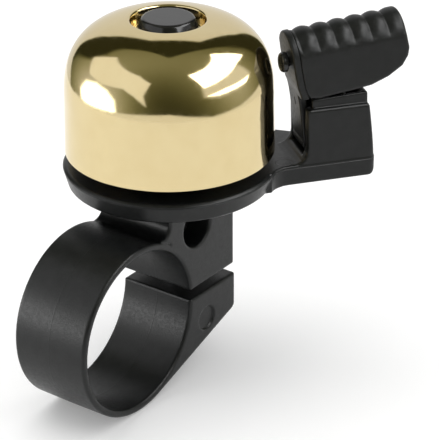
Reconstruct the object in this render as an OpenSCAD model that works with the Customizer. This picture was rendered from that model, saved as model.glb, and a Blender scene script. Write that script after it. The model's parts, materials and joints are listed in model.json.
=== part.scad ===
// Bicycle bell: brass dome on a handlebar clamp, with a sprung thumb lever that carries a striker.
// Origin: centre of the handlebar bore. +Y runs along the handlebar, +Z up to the bell.
// +X points from the bore to the split in the clamp and to the bell's own axis.

/* [Clamp] */
// Diameter of the handlebar bore with the split open
bore_d = 26; // [25.4:0.1:27]
// Width of the clamp along the handlebar
clamp_w = 13.7; // [12:0.1:15]
// Wall of the clamp ring
ring_wall = 1.27; // [1.1:0.01:1.5]
// Opening of the split when it is not tightened
split_gap = 1.8; // [1.4:0.1:2]
// Left side of the block under the bell
block_left = 7.8; // [7.4:0.1:8.2]
// Right side of the block
block_right = 24.8; // [24.4:0.1:25.1]
// Height of the block's top above the bore's centre
block_top = 17.46; // [17.3:0.02:17.6]
// Right side of the lower lug
lug_right = 25.1; // [24.9:0.1:25.5]
// Slope of the lug's underside, and tilt of the clamp screw
lug_slope = 17.9; // [17:0.1:19]

/* [Clamp screw] */
// Diameter of the cross hole for the barrel nut
barrel_hole_d = 6.8; // [6.4:0.1:7]
// Distance of the barrel nut from the bore's centre, along X
barrel_x = 14.87; // [14.7:0.01:15.1]
// Height of the barrel nut above the bore's centre
barrel_z = 12.15; // [12:0.05:12.3]
// Length of the barrel nut
barrel_len = 6; // [5:0.5:7]
// Outside diameter of both screws' threads
thread_d = 3.9; // [3.7:0.1:4]
// Diameter of the clamp screw's head
head_d = 6.2; // [5.8:0.1:6.4]

/* [Bell] */
// Distance of the bell's axis from the bore's centre, along X
bell_x = 16.97; // [16.8:0.01:17.1]
// Height of the dome's rim above the bore's centre
rim_z = 23.46; // [23.3:0.02:23.6]
// Radius of the dome at its rim
dome_r = 16.64; // [16.4:0.02:16.9]
// Height of the dome above its rim
dome_h = 21.94; // [21.6:0.02:22.2]
// Thickness of the dome's brass
dome_wall = 1.1; // [1:0.1:1.3]
// Height of the dome's straight wall
wall_h = 8.3; // [7.8:0.1:8.8]
// Squareness of the dome's shoulder, 2 for an ellipse
shoulder = 2.88; // [2.6:0.02:3.1]
// Radius of the recess in the dome's crown
recess_r = 5.9; // [5.7:0.1:6.1]
// Depth of the recess in the dome's crown
recess_depth = 2.6; // [2.5:0.1:2.7]

/* [Base] */
// Radius of the base disc at its upper edge
disc_r = 17.05; // [16.9:0.05:17.2]
// Radius of the base disc at its underside
disc_low_r = 16.35; // [16.2:0.05:16.6]
// Direction of the lever arm about the bell's axis
arm_deg = -37.6; // [-60:0.2:0]
// Distance of the arm's front face from the bell's axis
arm_front = 8.28; // [8.1:0.02:8.4]
// Distance of the lever housing's back face from the bell's axis
arm_back = 1; // [0.9:0.1:1.3]
// Outer end of the arm
arm_end = 31.8; // [31.4:0.1:32.2]

/* [Lever] */
// Width of the thumb pad
pad_w = 7.7; // [7.4:0.1:7.9]
// Number of grooves across the thumb pad
grooves = 6; // [5:1:6]
// Distance between the grooves
groove_pitch = 2.87; // [2.7:0.01:2.9]
// Diameter of the striker
striker_d = 3.2; // [2.8:0.1:3.4]
// Diameter of the lever's hinge pin
pin_d = 1.2; // [1:0.1:1.3]
// Diameter of the return spring
spring_d = 3.6; // [3.2:0.1:4]

/* [Hidden] */
$fn = 96;
eps = 0.01;
clear = 20;

// clamp
bore_r = bore_d / 2;
ring_r = bore_r + ring_wall;
split_low = -0.5;
split_high = split_low + split_gap;
neck_fillet_r = 2;
tangent_x = ring_r * sin(lug_slope);
tangent_z = -ring_r * cos(lug_slope);
lug_low = tangent_z + (lug_right - tangent_x) * tan(lug_slope);
mark_x = 17.2;
mark_z = -5.5;
mark_r = 2;
mark_depth = 0.35;

// clamp screw, along its own axis from the barrel nut's centre
fit_gap = 0.05;
barrel_r = barrel_hole_d / 2 - fit_gap;
thread_r = thread_d / 2;
head_r = head_d / 2;
head_h = 2.2;
clearance_r = thread_r + 0.2;
under_lug = -(ring_r + barrel_z * cos(lug_slope) - barrel_x * sin(lug_slope));
counterbore = 3.4;
counterbore_r = head_r + 0.25;
screw_hole_end = 4.2;
seat = under_lug + counterbore;
washer_t = 0.5;
lock_t = 0.6;
screw_tip = 3.6;

// post and stack under the dome, heights above the rim
post_r = 4;
post_top = 16.2;
insert_r = 2.7;
insert_len = 8;
sleeve_r = 5.4;
plate_low = -5.5;
plate_edge = -2.6;
plate_top = -2.15;
bearing_r = 6.6;
bearing_t = rim_z + plate_low - block_top;
friction_r = 6.8;
friction_rise = 0.5;
friction_t = 0.35;
crown_floor = dome_h - recess_depth;
seat_washer_t = 0.8;
sleeve_low = plate_top + friction_rise + friction_t;
sleeve_top = crown_floor - dome_wall - seat_washer_t;
cap_r = 4.07;
cap_base_r = 4.65;
cap_cavity_r = 3.7;
cap_top_t = 0.6;
cap_skirt = 1.6;
top_washer_t = 0.4;
dome_head_r = 3;
dome_head_h = 1.3;

// arm and lever housing, along the arm (u), across it (v) and up (h) from the rim
housing_left = 20.4;
housing_left_top = 20.15;
housing_right_top = 30.45;
housing_top = 6.95;
collar_top_left = 8.4;
collar_top_right = 8.8;
collar_inset = 0.75;
cavity_left = 21.9;
cavity_right = 29.3;
cavity_low = -4.2;
cavity_front = -7;
cavity_back = -0.35;
window_front = -6.5;
window_low = -1.2;
fillet_front_r = 4.5;
web_u = 14;
web_v = 9.6;
hinge_u = 21.2;
hinge_h = 0.4;
knuckle_r = 1.15;
pin_r = pin_d / 2;
pin_front = -7.7;
leaf_t = 1.1;
leaf_back = -1;
leaf_foot_front = -6.2;
leaf_wide_from = 9;
pad_v = -4.45;
pad_tilt = 6;
arch_r = pad_w / 2;
arch_u = 17.4;
arch_h = 15.35;
groove_r = 0.5;
groove_wrap = 200;
first_groove = 1.9;
striker_h = 14.2;
striker_v = -4.75;
striker_face = 16.6;
striker_end = 19.6;
spring_u = 26.2;
spring_v = -3.65;
spring_low = -4.2;
spring_turns = 9;
spring_wire = 0.5;
spring_top = 12;

// Outline helpers
function shoulder_h(r, q, top) = wall_h + (top - wall_h) * pow(1 - pow(q / r, shoulder), 1 / shoulder);

module at_bell() { translate([bell_x, 0, rim_z]) children(); }
module at_arm() { at_bell() rotate([0, 0, arm_deg]) children(); }
module at_screw() { translate([barrel_x, 0, barrel_z]) rotate([0, -lug_slope, 0]) children(); }

// Ring of rectangular section
module ring(outer, inner, low, thick) {
    translate([0, 0, low])
    difference() {
        cylinder(r = outer, h = thick);
        translate([0, 0, -1]) cylinder(r = inner, h = thick + 2);
    }
}

// Extrusion across the arm of an outline drawn in u and h
module across(v_low, v_high) {
    translate([0, v_high, 0]) rotate([90, 0, 0]) linear_extrude(v_high - v_low) children();
}

module clamp_outline() {
    difference() {
        union() {
            circle(r = ring_r);
            translate([block_left, split_high]) square([block_right - block_left, block_top - split_high]);
            polygon([[0, 0], [tangent_x, tangent_z], [lug_right, lug_low], [lug_right, split_low],
                     [0, split_low]]);
            neck_fillet();
        }
        circle(r = bore_r);
        translate([bore_r - 4, split_low]) square([lug_right, split_gap]);
        translate([barrel_x, barrel_z]) circle(r = barrel_hole_d / 2);
    }
}

// Concave fillet where the block's left side leaves the ring
module neck_fillet() {
    cx = block_left - neck_fillet_r;
    cz = sqrt(pow(ring_r + neck_fillet_r, 2) - pow(cx, 2));
    k = ring_r / (ring_r + neck_fillet_r);
    difference() {
        polygon([[cx * k, cz * k], [block_left, cz], [block_left + 1, cz], [block_left + 1, cz * k - 2]]);
        translate([cx, cz]) circle(r = neck_fillet_r);
    }
}

module clamp_body() {
    color("#26282a")
    difference() {
        union() {
            rotate([90, 0, 0]) linear_extrude(clamp_w, center = true) clamp_outline();
            translate([bell_x, 0, block_top - 1]) cylinder(r = post_r, h = rim_z + post_top - block_top + 1);
        }
        at_bell() translate([0, 0, post_top - insert_len - 3]) cylinder(r = insert_r, h = insert_len + 4);
        at_screw() {
            translate([0, 0, under_lug - 5]) cylinder(r = counterbore_r, h = counterbore + 5);
            translate([0, 0, under_lug]) cylinder(r = clearance_r, h = screw_hole_end - under_lug);
        }
        translate([mark_x, mark_depth - clamp_w / 2, mark_z]) rotate([90, 0, 0]) cylinder(r = mark_r, h = 2);
    }
}

module barrel_nut() {
    color("#4a4b4c")
    difference() {
        translate([barrel_x, barrel_len / 2, barrel_z]) rotate([90, 0, 0])
            cylinder(r = barrel_r, h = barrel_len);
        at_screw() translate([0, 0, -5]) cylinder(r = thread_r + fit_gap, h = 10);
    }
}

module clamp_screw() {
    low = seat - washer_t - lock_t;
    recess = [4, 0.8, 1.3];
    color("#8c8f92")
    at_screw()
    difference() {
        union() {
            translate([0, 0, low]) cylinder(r = thread_r, h = screw_tip - low);
            translate([0, 0, low - head_h]) cylinder(r = head_r, h = head_h);
        }
        for (turn = [0, 90]) rotate([0, 0, turn])
            translate([-recess.x / 2, -recess.y / 2, low - head_h - 1]) cube(recess + [0, 0, 1]);
    }
}

module clamp_lock_washer() {
    gap = 0.6;
    color("#7d8083")
    at_screw()
    difference() {
        ring(head_r - 0.2, thread_r + 0.1, seat - washer_t - lock_t, lock_t);
        rotate([0, 25, 0]) translate([0, -gap / 2, seat - head_r]) cube([2 * head_r, gap, 2 * head_r]);
    }
}

module clamp_washer() {
    color("#8c8f92")
    at_screw() ring(head_r + 0.1, thread_r + 0.1, seat - washer_t, washer_t);
}

module post_insert() {
    color("#b08d3f")
    at_bell() ring(insert_r, thread_r + fit_gap, post_top - insert_len, insert_len);
}

// Disc, drawn as half a section
module disc_section() {
    polygon([[0, plate_low], [disc_low_r - 0.35, plate_low], [disc_low_r, plate_low + 0.35],
             [disc_r, plate_edge], [disc_r - 0.5, plate_top], [0, plate_top]]);
}

// Concave corner between the disc and a straight side of the arm at v = side
module arm_fillet(side, r) {
    way = side > 0 ? 1 : -1;
    cv = side + way * r;
    cu = sqrt(pow(disc_r + r, 2) - pow(cv, 2));
    k = disc_r / (disc_r + r);
    difference() {
        polygon([[cu * k, cv * k], [cu, side], [cu, side - way], [cu * k - 2, side - way],
                 [cu * k - 2, cv * k]]);
        translate([cu, cv]) circle(r = r);
    }
}

module arm_outline() {
    arm_root = 10;
    corner_r = 1.4;
    difference() {
        translate([arm_root, -arm_front]) square([arm_end - arm_root, arm_front + arm_back]);
        translate([arm_end - corner_r, -arm_front]) square([corner_r, corner_r]);
    }
    translate([arm_end - corner_r, corner_r - arm_front]) circle(r = corner_r);
    arm_fillet(-arm_front, fillet_front_r);
    polygon([[web_u - 2, arm_back], [web_u - 2, web_v + 0.9], [web_u, web_v], [arm_end - 4, arm_back]]);
}

module housing_outline() {
    polygon([[housing_left, plate_top - 1], [arm_end, plate_top - 1], [arm_end, plate_top],
             [housing_right_top, housing_top], [housing_left_top, housing_top]]);
}

module collar_outline() {
    polygon([[cavity_left - 0.8, housing_top - 1], [housing_right_top, housing_top - 1],
             [housing_right_top - 0.2, collar_top_right], [cavity_left - 0.8, collar_top_left]]);
}

module base_plate() {
    color("#2b2c2e")
    at_arm()
    difference() {
        union() {
            rotate_extrude() disc_section();
            translate([0, 0, plate_low]) linear_extrude(plate_top - plate_low) arm_outline();
            across(-arm_front, arm_back) housing_outline();
            across(collar_inset - arm_front, arm_back) collar_outline();
        }
        translate([0, 0, plate_low - 1]) cylinder(r = post_r + fit_gap, h = plate_top - plate_low + 2);
        translate([cavity_left, cavity_front, cavity_low])
            cube([cavity_right - cavity_left, cavity_back - cavity_front, 20]);
        translate([housing_left - 4, window_front, window_low])
            cube([cavity_left - housing_left + 5, cavity_back - window_front, 20]);
        translate([hinge_u, arm_back + 1, hinge_h]) rotate([90, 0, 0])
            cylinder(r = pin_r, h = arm_back + 1 - pin_front);
    }
}

module bearing_washer() {
    color("#d8d6cc")
    at_bell() ring(bearing_r, post_r + fit_gap, plate_low - bearing_t, bearing_t);
}

// Dished spring washer that holds the base by friction
module friction_washer() {
    inner = post_r + 0.25;
    color("#9a9ca0")
    at_bell() translate([0, 0, plate_top])
    rotate_extrude()
        polygon([[inner, friction_rise], [friction_r, 0], [friction_r, friction_t],
                 [inner, friction_rise + friction_t]]);
}

module spacer_sleeve() {
    color("#2f3033")
    at_bell() ring(sleeve_r, post_r + fit_gap, sleeve_low, sleeve_top - sleeve_low);
}

// Outer surface of the dome is a straight wall and a squarish shoulder; the inner one follows it
module dome() {
    steps = 20;
    upper_r = dome_r - 0.17;
    inner_r = upper_r - dome_wall;
    inner_top = dome_h - dome_wall;
    lip_r = recess_r + 0.5;
    outer = [for (i = [0 : steps]) let (q = lip_r + (upper_r - lip_r) * sin(90 * (1 - i / steps)))
        [q, shoulder_h(upper_r, q, dome_h)]];
    inner_low_r = recess_r + dome_wall;
    inner = [for (i = [0 : steps]) let (q = inner_low_r + (inner_r - inner_low_r) * sin(90 * i / steps))
        [q, shoulder_h(inner_r, q, inner_top)]];
    hole_r = thread_r + 0.25;
    color("#d9b65a")
    at_bell()
    rotate_extrude($fn = 144)
        polygon(concat([[dome_r - 0.15, 0], [dome_r, 0.15]], outer,
            [[recess_r, dome_h - 0.35], [recess_r - 0.5, crown_floor + 0.3], [recess_r - 0.9, crown_floor],
             [hole_r, crown_floor], [hole_r, crown_floor - dome_wall], [recess_r, crown_floor - dome_wall]],
            inner, [[dome_r - dome_wall, 0]]));
}

module dome_seat_washer() {
    color("#e6e4da")
    at_bell() ring(sleeve_r - 0.4, thread_r + 0.1, sleeve_top, seat_washer_t);
}

module dome_top_washer() {
    color("#8c8f92")
    at_bell() ring(cap_cavity_r, thread_r + 0.1, crown_floor, top_washer_t);
}

module dome_screw() {
    head_low = crown_floor + top_washer_t;
    recess = [3.4, 0.7, 0.8];
    color("#8c8f92")
    at_bell()
    difference() {
        union() {
            translate([0, 0, post_top - insert_len + 0.5])
                cylinder(r = thread_r, h = head_low - post_top + insert_len - 0.5);
            translate([0, 0, head_low]) cylinder(r = dome_head_r, h = dome_head_h);
        }
        for (turn = [0, 90]) rotate([0, 0, turn])
            translate([-recess.x / 2, -recess.y / 2, head_low + dome_head_h - recess.z])
            cube(recess + [0, 0, 1]);
    }
}

// Snap-on cap over the dome screw
module dome_cap() {
    edge = 0.5;
    color("#141414")
    at_bell()
    rotate_extrude()
    difference() {
        polygon([[0, crown_floor], [cap_base_r, crown_floor], [cap_base_r, crown_floor + cap_skirt],
                 [cap_r, dome_h - edge / 2], [cap_r - edge, dome_h], [0, dome_h]]);
        translate([-1, crown_floor - 1]) square([1 + cap_cavity_r, dome_h - cap_top_t - crown_floor + 1]);
    }
}

// Tongue from the hinge knuckle up to the back of the thumb pad
module tongue_outline() {
    polygon([[hinge_u - knuckle_r, hinge_h], [19.9, 3], [19.7, 5.2], [19.4, 7.5], [19, 9.5], [18.5, 11],
             [17.7, 15.4], [17.22, 19.6], [17.22 + leaf_t, 19.6], [17.7 + leaf_t, 15.4], [18.6 + leaf_t, 11],
             [19.2 + leaf_t, 9.5], [19.6 + leaf_t, 7.5], [19.9 + leaf_t, 5.2], [20.4 + leaf_t, 3],
             [hinge_u + knuckle_r, hinge_h]]);
}

// Part of the tongue's outline from one height up to another
module tongue_between(low, high) {
    intersection() {
        tongue_outline();
        translate([hinge_u - clear / 2, low]) square([clear, high - low]);
    }
}

// Bar with an arched top of radius r, which runs along the thumb pad
module arched_bar(r) {
    depth = 14;
    translate([arch_u, pad_v, arch_h]) rotate([0, -pad_tilt, 0]) {
        translate([-clear / 4, 0, 0]) rotate([0, 90, 0]) cylinder(r = r, h = 1.5 * clear);
        translate([-clear / 4, -r, -depth]) cube([1.5 * clear, 2 * r, depth]);
    }
}

module lever() {
    color("#202122")
    at_arm()
    difference() {
        union() {
            intersection() {
                across(pad_v - arch_r, leaf_back) tongue_between(leaf_wide_from, striker_h + clear);
                arched_bar(arch_r - 0.1);
            }
            across(leaf_foot_front, leaf_back) tongue_between(hinge_h, leaf_wide_from + eps);
            translate([hinge_u, leaf_back, hinge_h]) rotate([90, 0, 0])
                cylinder(r = knuckle_r, h = leaf_back - leaf_foot_front);
        }
        translate([hinge_u, clear / 2, hinge_h]) rotate([90, 0, 0])
            cylinder(r = pin_r + fit_gap, h = clear);
        striker_bore();
    }
}

// Bore for the striker's stem, through the tongue into the pad
module striker_bore() {
    translate([striker_end + 0.2 - clear, striker_v, striker_h]) rotate([0, 90, 0])
        cylinder(r = striker_d / 4, h = clear);
}

// Side view of the thumb pad under its arched top
module pad_outline() {
    polygon([[18.75, 16], [18.85, 14.6], [19.5, 11], [19.7, 9.9], [20.6, 8.9], [22, 8.75], [27.6, 9.45],
             [30.7, 9.95], [33.5, 11.1], [35.8, 12.7], [36.7, 14.3], [36.85, 15.6], [36.2, 18.4],
             [35.4, 24], [18.2, 24], [18.2, 17.65]]);
}

module thumb_pad() {
    along = [cos(pad_tilt), 0, sin(pad_tilt)];
    pocket = 6;
    color("#2c2e30")
    at_arm()
    difference() {
        intersection() {
            across(pad_v - arch_r, pad_v + arch_r) pad_outline();
            arched_bar(arch_r);
        }
        across(pad_v - arch_r - 1, pad_v + arch_r + 1) tongue_outline();
        for (i = [0 : grooves - 1])
            translate([arch_u, pad_v, arch_h] + along * (first_groove + groove_pitch * i))
            rotate([0, 90 - pad_tilt, 0])
            rotate([0, 0, 180 - groove_wrap / 2]) rotate_extrude(angle = groove_wrap)
            translate([arch_r + groove_r * 0.1, 0]) circle(r = groove_r, $fn = 24);
        striker_bore();
        translate([spring_u, spring_v, spring_top - pocket])
            cylinder(r = spring_d / 2 + 0.4, h = pocket + fit_gap);
    }
}

module striker_pin() {
    stem_r = striker_d / 4 - 0.02;
    head_end = 17.6;
    color("#101010")
    at_arm() translate([0, striker_v, striker_h]) rotate([0, 90, 0]) {
        translate([0, 0, striker_face]) cylinder(r1 = striker_d / 2 - 0.3, r2 = striker_d / 2, h = 0.3);
        translate([0, 0, striker_face + 0.3]) cylinder(r = striker_d / 2, h = head_end - striker_face - 0.3);
        translate([0, 0, striker_face + 0.5]) cylinder(r = stem_r, h = striker_end - striker_face - 0.5);
    }
}

module lever_pin() {
    color("#a9acb0")
    at_arm() translate([hinge_u, arm_back, hinge_h]) rotate([90, 0, 0])
        cylinder(r = pin_r, h = arm_back - pin_front - 0.2);
}

// Return spring, drawn as a stack of rings joined by a thin wall
module return_spring() {
    height = spring_top - spring_low;
    pitch = (height - spring_wire) / (spring_turns - 1);
    mean_r = (spring_d - spring_wire) / 2;
    color("#b9bcc0")
    at_arm() translate([spring_u, spring_v, spring_low])
    rotate_extrude() {
        for (i = [0 : spring_turns - 1])
            translate([mean_r, spring_wire / 2 + pitch * i]) circle(r = spring_wire / 2, $fn = 20);
        translate([mean_r - 0.1, spring_wire / 2]) square([0.2, height - spring_wire]);
    }
}

clamp_body();
barrel_nut();
clamp_screw();
clamp_lock_washer();
clamp_washer();
post_insert();
base_plate();
bearing_washer();
friction_washer();
spacer_sleeve();
dome();
dome_seat_washer();
dome_top_washer();
dome_screw();
dome_cap();
lever();
thumb_pad();
striker_pin();
lever_pin();
return_spring();
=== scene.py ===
"""Looks of the bicycle bell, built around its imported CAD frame.

Lengths are millimetres until MM turns them to metres.
"""
import json
import math

import bmesh
import bpy
import numpy as np
from mathutils import Euler, Matrix, Vector

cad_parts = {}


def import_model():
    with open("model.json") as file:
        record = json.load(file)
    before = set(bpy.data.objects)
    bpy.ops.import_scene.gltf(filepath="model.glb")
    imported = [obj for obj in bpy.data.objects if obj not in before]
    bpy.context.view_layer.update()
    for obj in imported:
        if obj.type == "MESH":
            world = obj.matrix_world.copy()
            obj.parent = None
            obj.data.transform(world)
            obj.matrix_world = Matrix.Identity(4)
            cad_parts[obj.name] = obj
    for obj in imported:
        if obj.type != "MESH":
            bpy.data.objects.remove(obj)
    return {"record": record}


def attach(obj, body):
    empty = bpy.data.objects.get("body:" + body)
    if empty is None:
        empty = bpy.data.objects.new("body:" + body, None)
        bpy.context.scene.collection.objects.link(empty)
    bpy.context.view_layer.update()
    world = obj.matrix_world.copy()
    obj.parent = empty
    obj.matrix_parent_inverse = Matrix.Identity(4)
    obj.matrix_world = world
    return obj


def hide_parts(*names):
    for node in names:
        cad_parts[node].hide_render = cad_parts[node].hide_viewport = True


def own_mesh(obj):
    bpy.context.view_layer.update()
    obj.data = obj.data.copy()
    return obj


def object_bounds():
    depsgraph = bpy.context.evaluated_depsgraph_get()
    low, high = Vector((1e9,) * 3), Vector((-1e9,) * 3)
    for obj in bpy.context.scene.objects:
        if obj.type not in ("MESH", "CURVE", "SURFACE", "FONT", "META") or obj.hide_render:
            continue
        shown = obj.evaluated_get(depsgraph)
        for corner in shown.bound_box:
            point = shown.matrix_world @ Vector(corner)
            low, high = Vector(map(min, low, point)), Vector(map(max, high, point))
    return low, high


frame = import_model()
cad_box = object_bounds()

MM = 0.001
COARSE = 1.0

# The frame's own places
BELL_X, RIM_Z = 16.97, 23.46
ARM_DEG = -37.6
FLOOR_Z = cad_box[0].z

# Clamp
BORE_R = 13.0
RING_R = 14.27
CLAMP_W = 13.7
BLOCK_LEFT, BLOCK_RIGHT, BLOCK_TOP = 7.8, 24.8, 17.46
SPLIT_LOW, SPLIT_HIGH = -0.5, 1.3
LUG_RIGHT = 25.1
SLOPE = math.radians(17.9)
BARREL_X, BARREL_Z, BARREL_HOLE_R, BARREL_R, BARREL_LEN = 14.87, 12.15, 3.4, 3.35, 6.0
THREAD_R, THREAD_PITCH, THREAD_DEPTH = 1.95, 0.7, 0.22
HEAD_R, HEAD_H = 3.1, 2.2
COUNTERBORE, COUNTERBORE_R = 3.4, 3.35
DIMPLE_X, DIMPLE_Z, DIMPLE_R, DIMPLE_DEPTH = 17.2, -5.5, 2.0, 0.35
UNDER_LUG = -(RING_R + BARREL_Z * math.cos(SLOPE) - BARREL_X * math.sin(SLOPE))
SCREW_SEAT = UNDER_LUG + COUNTERBORE
WASHER_T, LOCK_T = 0.5, 0.6

# Stack under the dome, heights above the rim
POST_R, POST_TOP = 4.0, 16.2
INSERT_R, INSERT_LEN = 2.7, 8.0
PLATE_LOW, PLATE_EDGE, PLATE_TOP = -5.5, -2.6, -2.15
DISC_R, DISC_LOW_R = 17.05, 16.35
DOME_R, DOME_H, DOME_WALL = 16.64, 21.94, 1.1
WALL_H, SHOULDER = 8.3, 2.88
RECESS_R, RECESS_DEPTH = 5.9, 2.6
CROWN_FLOOR = DOME_H - RECESS_DEPTH
SLEEVE_R = 5.4
SLEEVE_LOW = PLATE_TOP + 0.85
SLEEVE_TOP = CROWN_FLOOR - DOME_WALL - 0.8

# Arm, housing and lever: u along the arm, v across it, h up from the rim
ARM_FRONT, ARM_BACK, ARM_END = -8.28, 1.0, 31.8
HOUSING_LEFT, HOUSING_LEFT_TOP, HOUSING_RIGHT_TOP, HOUSING_TOP = 20.4, 20.15, 30.45, 6.95
COLLAR_TOP_LEFT, COLLAR_TOP_RIGHT, COLLAR_INSET = 8.4, 8.8, 0.75
CAVITY = (21.9, 29.3, -7.0, -0.35)
CAVITY_LOW = -4.2
WINDOW_FRONT, WINDOW_LOW = -6.5, -1.2
HINGE_U, HINGE_H, KNUCKLE_R, PIN_R = 21.2, 0.4, 1.15, 0.6
PAD_V, PAD_TILT, ARCH_R, ARCH_U, ARCH_H = -4.45, math.radians(6), 3.85, 17.4, 15.35
GROOVES, FIRST_GROOVE, GROOVE_PITCH = 6, 1.9, 2.87
STRIKER_V, STRIKER_H, STRIKER_R, STRIKER_FACE = -4.75, 14.2, 1.6, 16.6
SPRING_U, SPRING_V, SPRING_R, SPRING_WIRE = 26.2, -3.65, 1.8, 0.25
SPRING_LOW, SPRING_TOP, SPRING_TURNS = -4.2, 12.0, 9

AT_ORIGIN = Matrix.Identity(4)
AT_BELL = Matrix.Translation((BELL_X, 0, RIM_Z))
AT_ARM = AT_BELL @ Matrix.Rotation(math.radians(ARM_DEG), 4, "Z")
AT_SCREW = Matrix.Translation((BARREL_X, 0, BARREL_Z)) @ Matrix.Rotation(-SLOPE, 4, "Y")
ACROSS = Matrix.Rotation(math.radians(90), 4, "X")
ALONG = Matrix.Rotation(math.radians(90), 4, "Y")


# ---------------------------------------------------------------- fields, negative inside

def box2(x, y, x0, x1, y0, y1, r=0.0):
    dx = np.abs(x - (x0 + x1) / 2) - (x1 - x0) / 2 + r
    dy = np.abs(y - (y0 + y1) / 2) - (y1 - y0) / 2 + r
    return np.minimum(np.maximum(dx, dy), 0) + np.hypot(np.maximum(dx, 0), np.maximum(dy, 0)) - r


def polygon2(x, y, corners):
    """Signed distance to a closed polygon."""
    best = np.full(np.shape(x), 1e9)
    side = np.ones(np.shape(x))
    for (ax, ay), (bx, by) in zip(corners, corners[-1:] + corners[:-1]):
        ex, ey, wx, wy = bx - ax, by - ay, x - ax, y - ay
        t = np.clip((wx * ex + wy * ey) / (ex * ex + ey * ey), 0, 1)
        best = np.minimum(best, (wx - ex * t) ** 2 + (wy - ey * t) ** 2)
        above, below, left = y >= ay, y < by, ex * wy > ey * wx
        side = np.where((above & below & left) | ~(above | below | left), -side, side)
    return side * np.sqrt(best)


def both(a, b, r):
    """Intersection with a rounded edge."""
    return np.minimum(-r, np.maximum(a, b)) + np.hypot(np.maximum(a + r, 0), np.maximum(b + r, 0))


def cut(a, b, r):
    """a without b, with a rounded edge."""
    return both(a, -b, r)


def filleted(corners, arc_steps=5):
    """Closed outline from (x, y, fillet radius) corners."""
    out = []
    count = len(corners)
    for i, (x, y, r) in enumerate(corners):
        p = Vector((x, y))
        if r <= 0:
            out.append((x, y))
            continue
        a = (Vector(corners[i - 1][:2]) - p).normalized()
        b = (Vector(corners[(i + 1) % count][:2]) - p).normalized()
        half = a.angle(b) / 2
        centre = p + (a + b).normalized() * (r / math.sin(half))
        start = (p + a * (r / math.tan(half)) - centre).normalized()
        end = (p + b * (r / math.tan(half)) - centre).normalized()
        for k in range(arc_steps + 1):
            out.append(tuple(centre + start.slerp(end, k / arc_steps) * r))
    return out


def smooth_closed(corners, steps):
    """Closed Catmull-Rom curve through the corners."""
    points = [Vector(c) for c in corners]
    out = []
    count = len(points)
    for i in range(count):
        a, b, c, d = (points[(i + k) % count] for k in (-1, 0, 1, 2))
        for k in range(steps):
            t = k / steps
            out.append(tuple(0.5 * (2 * b + (c - a) * t + (2 * a - 5 * b + 4 * c - d) * t * t
                                    + (3 * b - a - 3 * c + d) * t ** 3)))
    return out


# ---------------------------------------------------------------- meshes

CELLS = 6


def add_object(name, verts, faces, place, smooth=True):
    """New piece from vertices in millimetres in the place's own axes."""
    matrix = np.array(place)
    verts = (np.asarray(verts, float) @ matrix[:3, :3].T + matrix[:3, 3]) * MM
    mesh = bpy.data.meshes.new(name)
    mesh.from_pydata(verts.tolist(), [], [tuple(f) for f in faces])
    mesh.update()
    if smooth:
        mesh.shade_smooth()
    obj = bpy.data.objects.new(name, mesh)
    bpy.context.scene.collection.objects.link(obj)
    return obj


def moulded(name, field, low, high, step, place):
    """Piece whose surface is field(x, y, z) = 0, by surface nets and then a snap onto the field."""
    step *= COARSE
    low = np.array(low, float) - step
    blocks = np.ceil((np.array(high, float) + step - low) / (step * CELLS)).astype(int)
    block = np.stack(np.meshgrid(*[np.arange(n) for n in blocks], indexing="ij"), -1).reshape(-1, 3)
    centre = low + (block + 0.5) * CELLS * step
    block = block[np.abs(field(*centre.T)) < CELLS * step * 1.1]
    local = np.stack(np.meshgrid(*[np.arange(CELLS + 1)] * 3, indexing="ij"), -1)
    spot = block[:, None, None, None] * CELLS + local
    value = field(*np.moveaxis(low + spot * step, -1, 0))
    size = blocks * CELLS + 2
    key = (spot[..., 0] * size[1] + spot[..., 1]) * size[2] + spot[..., 2]
    corners = [(i, j, k) for i in (0, 1) for j in (0, 1) for k in (0, 1)]
    around = np.stack([value[:, i:i + CELLS, j:j + CELLS, k:k + CELLS] for i, j, k in corners], -1)
    crossed = (around < 0).any(-1) & (around >= 0).any(-1)
    around = around[crossed]
    cell = key[:, :CELLS, :CELLS, :CELLS][crossed]
    origin = spot[:, :CELLS, :CELLS, :CELLS][crossed].astype(float)
    total, hits = np.zeros_like(origin), np.zeros(len(origin))
    for a, ca in enumerate(corners):
        for b, cb in enumerate(corners):
            if b > a and sum(abs(p - q) for p, q in zip(ca, cb)) == 1:
                va, vb = around[:, a], around[:, b]
                mixed = (va < 0) != (vb < 0)
                t = np.where(mixed, va / np.where(mixed, va - vb, 1), 0)[:, None]
                total += mixed[:, None] * (np.array(ca) + t * (np.array(cb) - np.array(ca)))
                hits += mixed
    verts = low + (origin + total / hits[:, None]) * step
    order = np.argsort(cell)
    cell, verts = cell[order], verts[order]
    stride = np.array([size[1] * size[2], size[2], 1])
    faces = []
    inner = (slice(None),) + (slice(0, CELLS),) * 3
    for axis in range(3):
        ahead = list(inner)
        ahead[axis + 1] = slice(1, CELLS + 1)
        here, there = value[inner] < 0, value[tuple(ahead)] < 0
        b, c = stride[(axis + 1) % 3], stride[(axis + 2) % 3]
        for flip, mask in ((False, here & ~there), (True, ~here & there)):
            k = key[inner][mask]
            ring = np.stack([k - b - c, k - c, k, k - b], -1)
            faces.append(ring[:, ::-1] if flip else ring)
    faces = np.concatenate(faces)
    index = np.minimum(np.searchsorted(cell, faces), len(cell) - 1)
    index = index[(cell[index] == faces).all(-1)]
    tiny = step * 0.02
    for _ in range(3):
        here = field(*verts.T)
        slope = np.stack([field(*(verts + np.eye(3)[i] * tiny).T) - here for i in range(3)], -1) / tiny
        move = here[:, None] * slope / np.maximum((slope ** 2).sum(-1), 0.2)[:, None]
        verts = verts - np.clip(move, -step / 2, step / 2)
    return add_object(name, verts, index.tolist(), place)


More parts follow.
